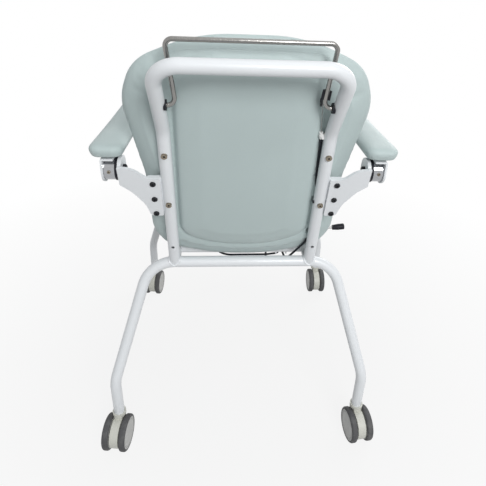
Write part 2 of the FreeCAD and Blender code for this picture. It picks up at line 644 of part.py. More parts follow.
    base_z = strap_z + STRAP_T
    rear = hub.y + PAD_REAR
    mid = BRACKET_OUT - PAD_SHY + PAD_W / 2
    outline = [(x + mid, y, r) for x, y, r in rect(PAD_W / 2, rear, rear - PAD_LENGTH, PAD_CORNER * PAD_W)]
    base = flat_block(outline, PAD_BASE_INSET, lambda x, y, h: V(x, y, base_z + h), 0.0, PAD_BASE_T)
    pad = pillow(outline, PAD_LEVELS, lambda x, y, h: V(x, y, base_z + PAD_BASE_T + h))
    pieces = {"armrest_friction_discs": group([disc, flip(disc)]),
              "armrest_pivot_bolts": group([pivot, flip(pivot)]),
              "armrest_bracket_bolts": group(bolts + [flip(b) for b in bolts])}
    for tag, turn in (("left", lambda s: s), ("right", flip)):
        pieces["armrest_bracket_" + tag] = turn(bracket)
        pieces["armrest_sleeve_" + tag] = group([turn(sleeve), turn(screw)])
        pieces["armrest_carrier_" + tag] = turn(carrier)
        pieces["armrest_base_" + tag] = turn(base)
        pieces["armrest_pad_" + tag] = turn(pad)
    return pieces


def bail_pivot():
    return V(0, BEND.y + BAIL_UP * SIN_HIGH, BEND.z + BAIL_UP * COS_HIGH)


def bush_face():
    """Distance of the upright's inner side from the middle, at the bail's pivot."""
    return KINK_X + (HANDLE_X - KINK_X) * BAIL_UP / UPRIGHT_HIGH - TUBE_R


def wire_top():
    """Where the inner cable meets the crank on the bail."""
    p = bail_pivot()
    a = math.radians(WIRE_LEAN - BAIL_SWING / 2)
    return V(BAIL_FOOT - bush_face() - 2.0, p.y - CRANK_ARM * math.cos(a), p.z + CRANK_ARM * math.sin(a))


def wire_axis():
    """Direction in which the inner cable is drawn."""
    a = math.radians(WIRE_LEAN)
    return unit(V(WIRE_SPLAY, WIRE_LENGTH * math.sin(a), WIRE_LENGTH * math.cos(a)))


def clip_point(inside):
    """Seat of the small plug on the right upright's inner side."""
    s = BACK_BOLT_S[0] + 2.0
    return up(-upright_x(s) + TUBE_R + inside, s, -4.0)


def bail_cable_route():
    """Outer cable from the adjuster, down behind the right upright, to the gas spring's head."""
    axis = wire_axis()
    end = wire_top() - axis * (WIRE_LENGTH + 12)
    inlet = spring_point(-13.8, -7.5) - X * CABLE_APART
    beside = [(14.5, 300, 12.4), (6.5, 225, 17.9), (6.5, 110, 17.9), (14.9, 66, 12.2)]
    points = [end, end - axis * 30] + [up(x - upright_x(s), s, off) for x, s, off in beside]
    points = points + [V(-126, 150, BAR_Z - 23), inlet]
    return points, [45, 50, 50, 40, 40, 12]


def lever_cable_route():
    """Outer cable from the gas spring's head, in a slack loop, to the hand lever's bracket."""
    inlet = spring_point(2, -11.3) + X * CABLE_APART
    lever_x = LEVER_PIVOT[0]
    slack = [V(-73, 100, BAR_Z - 39), V(45, 98, BAR_Z - 41), V(94, 60, BAR_Z - 43), V(20, -8, BAR_Z - 45),
             V(-190, 6, BAR_Z - 45)]
    points = [inlet, inlet - Z * 13] + slack + [V(lever_x, LEVER_Y, BAR_Z - 39), V(lever_x, LEVER_Y, BAR_Z - 13)]
    return points, [11, 40, 45, 36, 34, 30, 10]


def release_pieces(upright_solid):
    p = bail_pivot()
    face = bush_face()
    bushes = []
    for side in (1, -1):
        body = cyl(V(side * (face + BUSH_L), p.y, p.z), X * -side, BUSH_D / 2, BUSH_L + 2)
        flange = cyl(V(side * (face + 3), p.y, p.z), X * -side, BUSH_FLANGE_D / 2, 3 + BUSH_FLANGE_T)
        flange = flange.cut(upright_solid)
        bore = cyl(V(side * (face + BUSH_L - 2), p.y, p.z), X * -side, BAIL_D / 2 + RUN, 40)
        bushes.append(fuse([body, flange]).cut(bore))
    foot_x = face - BAIL_FOOT
    half = [V(face + BUSH_L - 3, p.y, p.z), V(foot_x, p.y, p.z),
            V(foot_x + BAIL_SPREAD, p.y + BAIL_BACK, p.z + BAIL_RISE)]
    points = half + [V(-q.x, q.y, q.z) for q in reversed(half)]
    bail = rod(points, [BAIL_FOOT_R, BAIL_TOP_R, BAIL_TOP_R, BAIL_FOOT_R], BAIL_D)

    # Crank: a clamp around the rising rod with a fork that holds the cable's end barrel
    top = wire_top()
    axis = wire_axis()
    lean = unit(V(half[1].x - half[2].x, half[2].y - half[1].y, half[2].z - half[1].z))
    grip = V(-half[1].x, p.y, p.z) + lean * 27.0
    shell = cyl(grip - lean * (CLAMP_L / 2), lean, CLAMP_D / 2, CLAMP_L)
    corner = V(grip.x - CLAMP_D, grip.y + 0.5, grip.z - CLAMP_L)
    open_half = Part.makeBox(2 * CLAMP_D, CLAMP_D, 2 * CLAMP_L, corner)
    crank = [shell.cut(open_half)]
    for x0 in (top.x - CRANK_GAP / 2 - CRANK_PLATE_T, top.x + CRANK_GAP / 2):
        edge = [V(x0, top.y - 6, top.z - 6), V(x0, top.y + 6, top.z - 6), V(x0, grip.y, grip.z - 5),
                V(x0, grip.y, grip.z + 5.5), V(x0, top.y - 6, top.z + 6)]
        crank.append(plate(edge, [5, 4, 1, 1, 5], X * CRANK_PLATE_T))
    barrel_l = CRANK_GAP + 2 * CRANK_PLATE_T + 0.8
    barrel = cyl(top - X * (barrel_l / 2), X, BARREL_D / 2, barrel_l)
    crank = fuse(crank).cut(bail).cut(cyl(top - X * barrel_l, X, BARREL_D / 2 + FIT, 2 * barrel_l))
    wire = cyl(top - axis * (WIRE_LENGTH + 8), axis, WIRE_D / 2, WIRE_LENGTH + 8)
    wire = fuse([wire, barrel])

    # Adjuster and outer cable held on the upright's inner side
    foot = top - axis * WIRE_LENGTH
    barrel = cyl(foot - axis * ADJUSTER_L, axis, ADJUSTER_D / 2, ADJUSTER_L)
    barrel = barrel.fuse(cyl(foot - axis * 12, axis, ADJUSTER_RIM_D / 2, 6.0))
    arm = box(foot.x - 16, foot.x - 3, foot.y - 9, foot.y + 1, foot.z - 16, foot.z - 4)
    adjuster = fuse([barrel, arm]).cut(upright_solid)
    end = foot - axis * 12
    adjuster = adjuster.cut(cyl(foot - axis * 13, axis, WIRE_D / 2 + 0.3, 40))
    adjuster = adjuster.cut(cyl(end, axis * -1, SHEATH_D / 2, 30))
    sheath = rod(*bail_cable_route(), SHEATH_D)
    lever_sheath = rod(*lever_cable_route(), SHEATH_D)
    at = lever_cable_route()[0][2]
    ring = cyl(at - X * (TIE_W / 2), X, SHEATH_D / 2 + 2 * TIE_T, TIE_W)
    tail_y = at.y + SHEATH_D / 2
    tail = box(at.x - TIE_W / 2, at.x + TIE_W / 2, tail_y, tail_y + TIE_T, at.z, at.z + TIE_TAIL)
    tie = fuse([ring, tail]).cut(lever_sheath)
    clip = cyl(clip_point(-2.2), X, CLIP_HOLE_D / 2, 3.0)
    dome = cyl(clip_point(-1.2), X, CLIP_HEAD_D / 2, 4.0).cut(upright_solid)
    clip = fuse([clip, dome])
    return {"bail_bushes": group(bushes), "release_bail": bail, "cable_crank": crank, "inner_cable": wire,
            "cable_adjuster": adjuster, "bail_cable": sheath, "lever_cable": lever_sheath, "cable_clip": clip,
            "cable_tie": tie}


def spring_point(u, across):
    """Point on the gas spring: u along it from the head's pin, across square to it (upward)."""
    a = math.radians(SPRING_TILT)
    share = (1 + math.cos(math.radians(LEGREST_SWING / 2))) / 2
    mid_y = HINGE_Y + CRANK_R * share * math.sin(a)
    mid_z = HINGE_Z - CRANK_R * share * math.cos(a)
    back = SPRING_LENGTH - u
    y = mid_y + back * math.cos(a) - across * math.sin(a)
    return V(SPRING_X, y, mid_z + back * math.sin(a) + across * math.cos(a))


def crank_pin():
    a = math.radians(SPRING_TILT + LEGREST_SWING / 2)
    return V(SPRING_X, HINGE_Y + CRANK_R * math.sin(a), HINGE_Z - CRANK_R * math.cos(a))


def spring_stroke():
    return 2 * CRANK_R * math.sin(math.radians(LEGREST_SWING / 2))


def spring_axis():
    return unit(spring_point(1, 0) - spring_point(0, 0))


def spring_pieces():
    axis = spring_axis()
    travel = spring_stroke()
    slot_u = SPRING_LENGTH - travel / 2
    tall = SPRING_PIN_D / 2 + 8.0
    corners = [(-13, -tall), (32, 3 - tall), (32, tall - 3), (-13, tall)]
    half = X * (SPRING_HEAD_W / 2)
    head = plate([spring_point(u, v) - half for u, v in corners], [6, 3, 3, 6], half * 2)
    rod_start = 18.0
    tail = 38.0
    engaged = tail + travel + 58.0
    piston = cyl(spring_point(rod_start, 0), axis, SPRING_ROD_R, engaged - rod_start)
    reach = SPRING_HEAD_W / 2 + SPRING_LUG_T + 3.9
    pin = spring_point(0, 0)
    rear_pin = cyl(pin - X * reach, X, SPRING_PIN_D / 2, 2 * reach)
    head = cut(head, [piston, rear_pin])
    barrel = cyl(spring_point(tail, 0), axis, CYLINDER_R, slot_u - 26 - tail)
    barrel = barrel.cut(cyl(spring_point(tail - 1, 0), axis, SPRING_ROD_R + RUN, engaged - tail + 3))
    drop = CRANK_R * (1 - math.cos(math.radians(LEGREST_SWING / 2))) / 2
    tall = drop + SPRING_PIN_D / 2 + 0.6
    width = SPRING_PIN_D / 2 + 0.9
    nose = width + 7.1
    eye = [(-30, -9), (-14, -tall - 6), (nose, -tall - 6), (nose, tall + 6), (-14, tall + 6), (-30, 9)]
    half = X * (SPRING_EYE_W / 2)
    eye = plate([spring_point(slot_u + u, v) - half for u, v in eye], [3, 8, 9, 9, 8, 3], half * 2)
    slot = [(-width, -tall), (width, -tall), (width, tall), (-width, tall)]
    slot = plate([spring_point(slot_u + u, v) - half * 2 for u, v in slot], [width - 0.05] * 4, half * 4)
    cylinder = fuse([barrel, eye]).cut(slot)
    ends = [cyl(pin + X * (reach - 3.0), X, 7.0, 3.4), cyl(pin - X * (reach + 0.4), X, 7.0, 3.4)]
    rear_pin = fuse([rear_pin] + ends)
    return {"gas_spring_rod": piston, "gas_spring_head": head, "gas_spring_cylinder": cylinder,
            "gas_spring_rear_pin": rear_pin}


def legrest_pieces():
    tube_r = HINGE_TUBE_D / 2
    shaft = cyl(V(-HINGE_HALF, HINGE_Y, HINGE_Z), X, tube_r, 2 * HINGE_HALF)
    parts = [shaft]
    for x in (-LEGREST_STRAP_X, LEGREST_STRAP_X):
        parts.append(box(x - LEGREST_STRAP_W / 2, x + LEGREST_STRAP_W / 2, LEGREST_BACK, LEGREST_BACK + LUG_T,
                         LEGREST_LOW + 30, HINGE_Z + 2))
    pin = crank_pin()
    eye_r = SPRING_PIN_D / 2 + 5.0
    gap = SPRING_EYE_W / 2 + 1.0
    for x0 in (SPRING_X - gap - 4.0, SPRING_X + gap):
        eye = cyl(V(x0, pin.y, pin.z), X, eye_r, 4.0)
        along = unit(V(0, pin.y - HINGE_Y, pin.z - HINGE_Z))
        side = V(0, -along.z, along.y) * eye_r
        root = V(x0, HINGE_Y, HINGE_Z)
        tip = V(x0, pin.y, pin.z)
        web = Part.makePolygon([root + side, tip + side, tip - side, root - side, root + side])
        parts += [eye, Part.Face(web).extrude(X * 4.0)]
    frame = fuse(parts)
    frame = cut(frame, [cyl(V(-HINGE_HALF, HINGE_Y, HINGE_Z), X, HINGE_PIN_D / 2 + RUN, 30),
                        cyl(V(HINGE_HALF - 30, HINGE_Y, HINGE_Z), X, HINGE_PIN_D / 2 + RUN, 30),
                        cyl(V(SPRING_X - 30, pin.y, pin.z), X, SPRING_PIN_D / 2, 60)])

    def place(x, z, h):
        return V(x, LEGREST_BACK - h, z)

    outline = [(-LEGREST_HALF, LEGREST_LOW, 60.0), (LEGREST_HALF, LEGREST_LOW, 60.0),
               (LEGREST_HALF, HINGE_Z + LEGREST_TOP, 60.0), (-LEGREST_HALF, HINGE_Z + LEGREST_TOP, 60.0)]
    board = flat_block(outline, 10.0, place, 0.0, LEGREST_BOARD_T)
    cushion = pillow(outline, LEGREST_LEVELS, lambda x, z, h: place(x, z, h + LEGREST_BOARD_T))
    pins = []
    for side in (1, -1):
        shank = cyl(V(side * (HINGE_HALF - 26), HINGE_Y, HINGE_Z), X * side, HINGE_PIN_D / 2, 30 + LUG_T)
        head = cyl(V(side * (HINGE_HALF + 1 + LUG_T), HINGE_Y, HINGE_Z), X * side, 0.85 * HINGE_PIN_D, 5.5)
        pins.append(fuse([shank, head]))
    reach = gap + 4.0
    front_pin = cyl(pin - X * (reach + 2), X, SPRING_PIN_D / 2, 2 * reach + 4)
    ends = [cyl(pin - X * (reach + 2.4), X, 6.5, 2.4), cyl(pin + X * reach, X, 6.5, 2.4)]
    front_pin = fuse([front_pin] + ends)
    return {"legrest_frame": frame, "legrest_board": board, "legrest_cushion": cushion,
            "legrest_hinge_pins": group(pins), "gas_spring_front_pin": front_pin}


def lever_pieces():
    px, pz = LEVER_PIVOT
    tx, tz = LEVER_TIP
    rail = cyl(V(-RAIL_X, LEVER_Y - TUBE_D, BAR_Z), Y, TUBE_R, 2 * TUBE_D)
    root = -RAIL_X - TUBE_R / 2
    half = LEVER_HUB_W / 2 + 0.4
    cheeks = []
    for y0 in (LEVER_Y - half - 3.0, LEVER_Y + half):
        cheeks.append(box(px - 8, root, y0, y0 + 3, BAR_Z - 10, BAR_Z + 12).cut(rail))
    floor = box(px - 8, root, LEVER_Y - half - 3, LEVER_Y + half + 3, BAR_Z - 13, BAR_Z - 10).cut(rail)
    pin = cyl(V(px, LEVER_Y - half - 4.5, pz), Y, LEVER_PIN_D / 2, 2 * half + 9)
    bracket = fuse(cheeks + [floor, pin])
    bracket = bracket.cut(cyl(V(px, LEVER_Y, BAR_Z - 20), Z, 1.5, 12))
    hub = cyl(V(px, LEVER_Y - LEVER_HUB_W / 2, pz), Y, LEVER_HUB_D / 2, LEVER_HUB_W)
    along = unit(V(tx - px, 0, tz - pz))
    reach = math.hypot(tx - px, tz - pz)
    stick = cyl(V(px, LEVER_Y, pz), along, LEVER_D / 2, reach + 0.7 * KNOB_L)
    bore = cyl(V(px, LEVER_Y - LEVER_HUB_W, pz), Y, LEVER_PIN_D / 2 + RUN, 2 * LEVER_HUB_W)
    lever = fuse([hub, stick]).cut(bore)
    tip = V(tx, LEVER_Y, tz)
    knob = Part.makeCone(KNOB_NECK_D / 2, KNOB_D / 2, KNOB_L * 0.45, tip, along)
    knob = fuse([knob, cyl(tip + along * (KNOB_L * 0.45), along, KNOB_D / 2, KNOB_L * 0.55)])
    knob = knob.makeFillet(KNOB_EDGE_R, end_edges(knob, tip + along * KNOB_L)).cut(stick)
    return {"lever_bracket": bracket, "side_lever": lever, "lever_knob": knob}


def main():
    pieces, upright_solid = frame_pieces()
    pieces.update(back_pieces(upright_solid))
    pieces.update(seat_pieces())
    pieces.update(arm_pieces())
    pieces.update(release_pieces(upright_solid))
    pieces.update(spring_pieces())
    pieces.update(legrest_pieces())
    pieces.update(lever_pieces())
    stems = []
    for tag, side, y, turn in CASTORS:
        stem, housing, hubs, tyres = castor_pieces(side * TRACK / 2, y, turn)
        stems.append(stem)
        pieces["castor_housing_" + tag] = housing
        pieces["castor_hubs_" + tag] = hubs
        pieces["castor_tyres_" + tag] = tyres
    pieces["castor_stems"] = group(stems)
    os.makedirs("parts", exist_ok=True)
    for name, shape in pieces.items():
        shape.exportStep("parts/" + name + ".step")


if __name__ == "__main__":
    main()
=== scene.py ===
import bpy
import bmesh
import json
import math
from mathutils import Matrix, Vector
from mathutils.kdtree import KDTree


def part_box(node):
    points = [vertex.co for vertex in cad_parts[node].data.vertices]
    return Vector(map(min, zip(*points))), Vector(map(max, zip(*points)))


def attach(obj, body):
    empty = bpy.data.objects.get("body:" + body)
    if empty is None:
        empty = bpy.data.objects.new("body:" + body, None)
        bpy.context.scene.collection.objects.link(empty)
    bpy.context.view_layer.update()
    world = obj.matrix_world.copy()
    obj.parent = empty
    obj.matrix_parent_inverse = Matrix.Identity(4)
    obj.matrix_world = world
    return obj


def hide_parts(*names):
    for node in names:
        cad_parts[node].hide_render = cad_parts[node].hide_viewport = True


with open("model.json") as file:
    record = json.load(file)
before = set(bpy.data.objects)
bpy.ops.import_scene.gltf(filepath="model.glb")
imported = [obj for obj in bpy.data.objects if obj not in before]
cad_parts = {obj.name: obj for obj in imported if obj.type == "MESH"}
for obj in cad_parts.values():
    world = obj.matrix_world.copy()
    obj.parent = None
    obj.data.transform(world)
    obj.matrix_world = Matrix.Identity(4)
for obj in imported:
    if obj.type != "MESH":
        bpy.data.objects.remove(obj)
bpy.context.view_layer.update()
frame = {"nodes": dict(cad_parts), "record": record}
nodes = frame["nodes"]
scene = bpy.context.scene

# Places shared with the solids, in metres

LEAN = math.radians(15.3)
TUBE_R = 0.015
UPRIGHT_X, RAIL_X = 0.1855, 0.187
BAR_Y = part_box("rear_leg_frame")[0].y + TUBE_R
BAR_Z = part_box("rear_leg_frame")[1].z - TUBE_R
FRONT_BAR_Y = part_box("front_leg_frame")[1].y - TUBE_R
COVER_OFF = 0.0153  # from the uprights' axes forward to the rear cover's flat face
SEAM_OFF = 0.040  # from the uprights' axes forward to the seam of the back's two covers
REAR_SIDE = SEAM_OFF - 0.012  # what lies less far forward is the cover's rear side
IN_PLANE = 2e-4  # points this close to a plane lie in it

SIDEWAYS = Vector((1, 0, 0))
AHEAD = Vector((0, -1, 0))
UPWARD = Vector((0, math.sin(LEAN), math.cos(LEAN)))
REARWARD = Vector((0, math.cos(LEAN), -math.sin(LEAN)))


def forward(p):
    """How far a point lies forward of the plane of the uprights."""
    return -(p.y - BAR_Y) * math.cos(LEAN) + (p.z - BAR_Z) * math.sin(LEAN)


def along(p):
    """How far a point lies up the uprights from the crossbar."""
    return (p.y - BAR_Y) * math.sin(LEAN) + (p.z - BAR_Z) * math.cos(LEAN)


def fade(value, start, end):
    """Smooth step that is 0 at start and 1 at end."""
    t = min(1.0, max(0.0, (value - start) / (end - start)))
    return t * t * (3 - 2 * t)


def add(name, data):
    o = bpy.data.objects.new(name, data)
    scene.collection.objects.link(o)
    return o


# Materials


class Look:
    """A node material: colour, roughness and relief come from textures in the piece's own coordinates."""

    def __init__(self, name, metallic=0.0, specular=0.5, coat=0.0, sheen=0.0):
        self.m = bpy.data.materials.new(name)
        self.m.use_nodes = True
        self.t = self.m.node_tree
        self.b = self.t.nodes["Principled BSDF"]
        self.b.inputs["Metallic"].default_value = metallic
        self.b.inputs["Specular IOR Level"].default_value = specular
        self.b.inputs["Coat Weight"].default_value = coat
        self.b.inputs["Coat Roughness"].default_value = 0.12
        self.b.inputs["Sheen Weight"].default_value = sheen
        self.co = self.t.nodes.new("ShaderNodeTexCoord").outputs["Object"]

    def node(self, kind, **values):
        n = self.t.nodes.new(kind)
        for key, v in values.items():
            setattr(n, key, v)
        return n

    def put(self, socket, value):
        if hasattr(value, "is_output"):
            self.t.links.new(value, socket)
        else:
            socket.default_value = value

    def stretch(self, x, y, z):
        n = self.node("ShaderNodeMapping")
        self.put(n.inputs["Vector"], self.co)
        n.inputs["Scale"].default_value = (x, y, z)
        return n.outputs["Vector"]

    def noise(self, scale, detail=2.0, vector=None):
        n = self.node("ShaderNodeTexNoise")
        self.put(n.inputs["Vector"], vector or self.co)
        n.inputs["Scale"].default_value = scale
        n.inputs["Detail"].default_value = detail
        return n.outputs["Fac"]

    def cells(self, scale):
        n = self.node("ShaderNodeTexVoronoi", feature="DISTANCE_TO_EDGE")
        self.put(n.inputs["Vector"], self.co)
        n.inputs["Scale"].default_value = scale
        return n.outputs["Distance"]

    def ramp(self, value, lo, hi, low=0.0, high=1.0):
        n = self.node("ShaderNodeMapRange", clamp=True)
        self.put(n.inputs["Value"], value)
        for key, v in (("From Min", lo), ("From Max", hi), ("To Min", low), ("To Max", high)):
            n.inputs[key].default_value = v
        return n.outputs["Result"]

    def calc(self, how, a, b):
        n = self.node("ShaderNodeMath", operation=how)
        self.put(n.inputs[0], a)
        self.put(n.inputs[1], b)
        return n.outputs[0]

    def mix(self, fac, a, b):
        n = self.node("ShaderNodeMix", data_type="RGBA")
        self.put(n.inputs[0], fac)
        self.put(n.inputs[6], a if hasattr(a, "is_output") else (*a, 1))
        self.put(n.inputs[7], b if hasattr(b, "is_output") else (*b, 1))
        return n.outputs[2]

    def colour(self, value):
        self.put(self.b.inputs["Base Color"], value)
        return self

    def rough(self, value):
        self.put(self.b.inputs["Roughness"], value)
        return self

    def relief(self, height, depth, strength):
        n = self.node("ShaderNodeBump")
        n.inputs["Strength"].default_value = strength
        n.inputs["Distance"].default_value = depth
        self.put(n.inputs["Height"], height)
        self.put(self.b.inputs["Normal"], n.outputs["Normal"])
        return self


def shade(rgb, k):
    return tuple(min(1.0, c * k) for c in rgb)


def vinyl():
    k = Look("sage_vinyl", specular=0.35, sheen=0.12)
    k.b.inputs["Sheen Roughness"].default_value = 0.5
    base = (0.495, 0.580, 0.574)
    cloud = k.ramp(k.noise(4.0, 3.0), 0.3, 0.7)
    fine = k.ramp(k.noise(60.0), 0.3, 0.7)
    tone = k.mix(cloud, shade(base, 0.965), shade(base, 1.03))
    grain = k.ramp(k.cells(750.0), 0.0, 0.28)
    tone = k.mix(k.calc("MULTIPLY", k.calc("SUBTRACT", 1.0, grain), 0.35), tone, shade(base, 0.86))
    k.colour(tone)
    k.rough(k.ramp(fine, 0.0, 1.0, 0.50, 0.60))
    pores = k.calc("ADD", grain, k.calc("MULTIPLY", k.noise(1800.0), 0.5))
    pores = k.calc("ADD", pores, k.calc("MULTIPLY", k.noise(38.0, 3.0), 1.6))
    return k.relief(pores, 0.00014, 0.7).m


def paint():
    k = Look("white_powder_coat", coat=0.25)
    base = (0.765, 0.785, 0.805)
    cloud = k.ramp(k.noise(7.0, 3.0), 0.3, 0.7)
    speck = k.ramp(k.noise(420.0), 0.66, 0.74)
    tone = k.mix(cloud, shade(base, 0.985), shade(base, 1.01))
    k.colour(k.mix(k.calc("MULTIPLY", speck, 0.25), tone, shade(base, 0.9)))
    k.rough(k.ramp(k.noise(30.0), 0.3, 0.7, 0.30, 0.40))
    peel = k.calc("ADD", k.noise(700.0, 1.0), k.calc("MULTIPLY", k.noise(160.0), 0.8))
    return k.relief(peel, 0.00006, 0.6).m


def metal(name, base, lo, hi, grain=(1, 1, 1), spots=0.0, spot=None):
    """Brushed metal, its roughness between lo and hi; spots is the share of a stain of the colour spot."""
    k = Look(name, metallic=1.0)
    lines = k.noise(220.0, 4.0, k.stretch(*grain))
    tone = k.mix(k.ramp(lines, 0.3, 0.7), shade(base, 0.88), shade(base, 1.06))
    if spots:
        tone = k.mix(k.calc("MULTIPLY", k.ramp(k.noise(90.0, 3.0), 0.55, 0.72), spots), tone, spot)
    k.colour(tone)
    k.rough(k.ramp(lines, 0.25, 0.75, lo, hi))
    return k.relief(lines, 0.00002, 0.5).m


def plastic(name, base, lo, hi, texture=900.0, depth=0.00005, vary=0.03, specular=0.45):
    """Moulded plastic or dull coating, its roughness between lo and hi."""
    k = Look(name, specular=specular)
    cloud = k.ramp(k.noise(14.0, 3.0), 0.3, 0.7)
    k.colour(k.mix(cloud, shade(base, 1 - vary), shade(base, 1 + vary)))
    k.rough(k.ramp(k.noise(55.0), 0.3, 0.7, lo, hi))
    return k.relief(k.noise(texture), depth, 0.7).m


def rubber(name, base, scuff):
    k = Look(name, specular=0.3)
    wear = k.ramp(k.noise(45.0, 5.0), 0.48, 0.72)
    k.colour(k.mix(k.calc("MULTIPLY", wear, 0.55), base, scuff))
    k.rough(k.ramp(k.noise(120.0, 3.0), 0.3, 0.7, 0.55, 0.75))
    return k.relief(k.calc("ADD", k.noise(900.0), wear), 0.00008, 0.7).m


def plywood():
    k = Look("plywood", specular=0.25)
    n = k.node("ShaderNodeTexWave", wave_type="BANDS", bands_direction="X")
    k.put(n.inputs["Vector"], k.stretch(1.0, 0.12, 1.0))
    for key, v in (("Scale", 26.0), ("Distortion", 9.0), ("Detail", 4.0), ("Detail Scale", 1.6)):
        n.inputs[key].default_value = v
    pores = k.ramp(k.noise(340.0, vector=k.stretch(1.0, 0.06, 1.0)), 0.5, 0.75)
    tone = k.mix(n.outputs["Fac"], (0.50, 0.35, 0.20), (0.62, 0.46, 0.29))
    k.colour(k.mix(k.calc("MULTIPLY", pores, 0.5), tone, (0.36, 0.24, 0.13)))
    k.rough(k.ramp(pores, 0.0, 1.0, 0.55, 0.72))
    return k.relief(pores, 0.00012, 0.6).m


DULL_BLACK = dict(vary=0.1, specular=0.2)
LOOKS = {
    "frame_paint": paint(),
    "vinyl": vinyl(),
    "plywood": plywood(),
    "bolt_steel": metal("zinc_bolt", (0.27, 0.235, 0.185), 0.22, 0.40, spots=0.5, spot=(0.09, 0.07, 0.05)),
    "black_steel": plastic("black_steel", (0.016, 0.017, 0.020), 0.32, 0.48,
                           texture=600.0, depth=0.00003, **DULL_BLACK),
    "sleeve_chrome": metal("chrome", (0.40, 0.41, 0.425), 0.06, 0.14, grain=(1, 4, 4)),
    "pin_steel": metal("zinc_steel", (0.33, 0.33, 0.33), 0.28, 0.45, grain=(6, 1, 1)),
    "stainless": metal("stainless", (0.27, 0.265, 0.255), 0.14, 0.24, grain=(3, 1, 1)),
    "black_plastic": plastic("black_plastic", (0.011, 0.012, 0.017), 0.38, 0.55, **DULL_BLACK),
    "white_plastic": plastic("white_plastic", (0.80, 0.80, 0.79), 0.25, 0.38),
    "cable_sheath": plastic("cable_sheath", (0.010, 0.012, 0.018), 0.35, 0.5,
                            texture=500.0, depth=0.00004, **DULL_BLACK),
    "castor_cream": plastic("castor_cream", (0.60, 0.60, 0.545), 0.36, 0.5),
    "castor_grey": plastic("castor_grey", (0.50, 0.50, 0.485), 0.36, 0.5),
    "castor_tyre": rubber("castor_tyre", (0.085, 0.085, 0.088), (0.16, 0.16, 0.158)),
}
LOOKS["bracket_paint"] = LOOKS["frame_paint"]

SLOT_OF = {s["node"]: s["material_slot"] for s in frame["record"]["subparts"]}
for name, o in nodes.items():
    o.data.materials.clear()
    o.data.materials.append(LOOKS[SLOT_OF[name]])


# Upholstery: how each cover is remeshed, smoothed, drawn in and blown up again

CUSHION = dict(voxel=0.006, rounds=8, depth=0.003, pressure=4.0, fill=0.8)
THIN_PAD = dict(rounds=3, depth=0.001, pressure=3.0, fill=0.9)
SEAM_ROUNDS, LAST_ROUNDS = 4, 2
CLOTH_FRAMES = 20


def remeshed(source, name, voxel):
    o = add(name, source.data.copy())
    o.data.materials.clear()
    m = o.modifiers.new("remesh", "REMESH")
    m.mode = "VOXEL"
    m.voxel_size = voxel
    mesh = bpy.data.meshes.new_from_object(o.evaluated_get(bpy.context.evaluated_depsgraph_get()))
    o.modifiers.clear()
    o.data = mesh
    mesh.name = name
    return o


def relax(o, rounds, hold):
    """Smooths every point that isn't held."""
    bm = bmesh.new()
    bm.from_mesh(o.data)
    free = [v for v in bm.verts if not hold(v.co)]
    for _ in range(rounds):
        bmesh.ops.smooth_vert(bm, verts=free, factor=0.5, use_axis_x=True, use_axis_y=True, use_axis_z=True)
    bm.to_mesh(o.data)
    bm.free()


def shrink(o, depth, hold):
    """Draws every point that isn't held inward."""
    normals = [v.normal.copy() for v in o.data.vertices]
    for v, n in zip(o.data.vertices, normals):
        if not hold(v.co):
            v.co -= n * depth


def inflate(o, hold, pressure, cap):
    """Cloth under air pressure, its seated face pinned, and no point moved further than the cap."""
    start = [v.co.copy() for v in o.data.vertices]
    pins = o.vertex_groups.new(name="seat")
    pins.add([i for i, c in enumerate(start) if hold(c)], 1.0, "REPLACE")
    m = o.modifiers.new("cloth", "CLOTH")
    s = m.settings
    s.quality = 4
    s.mass = 0.4
    s.tension_stiffness = 25
    s.compression_stiffness = 25
    s.shear_stiffness = 12
    s.bending_stiffness = 4
    s.use_pressure = True
    s.uniform_pressure_force = pressure
    s.vertex_group_mass = "seat"
    s.effector_weights.gravity = 0
    m.collision_settings.use_collision = False
    m.point_cache.frame_start = 1
    m.point_cache.frame_end = CLOTH_FRAMES
    for f in range(1, CLOTH_FRAMES + 1):
        scene.frame_set(f)
    shape = bpy.data.meshes.new_from_object(o.evaluated_get(bpy.context.evaluated_depsgraph_get()))
    end = [v.co.copy() for v in shape.vertices]
    o.modifiers.clear()
    o.vertex_groups.clear()
    scene.frame_set(1)
    bpy.data.meshes.remove(shape)
    for v, a, b in zip(o.data.vertices, start, end):
        move = b - a
        v.co = a + move * min(1.0, cap / max(move.length, 1e-9))


def finish_pad(o, body, node):
    for p in o.data.polygons:
        p.use_smooth = True
    o.data.materials.append(LOOKS["vinyl"])
    sub = o.modifiers.new("smooth", "SUBSURF")
    sub.levels = 1
    sub.render_levels = 1
    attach(o, body)
    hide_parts(node)
    return o


def pad(name, node, body, hold, voxel, rounds, depth, pressure, cap, fill, shape=None):
    """A cushion in place of its solid; hold tells its seated face, and shape works it further."""
    o = remeshed(nodes[node], name, voxel)
    relax(o, SEAM_ROUNDS, lambda c: not hold(c))
    relax(o, rounds, hold)
    shrink(o, depth, hold)
    inflate(o, hold, pressure, cap)
    relax(o, LAST_ROUNDS, hold)
    if shape:
        shape(o)
    return finish_pad(o, body, node)


# Raised middle of the rear cover: X is measured from the middle, S up the uprights from the crossbar

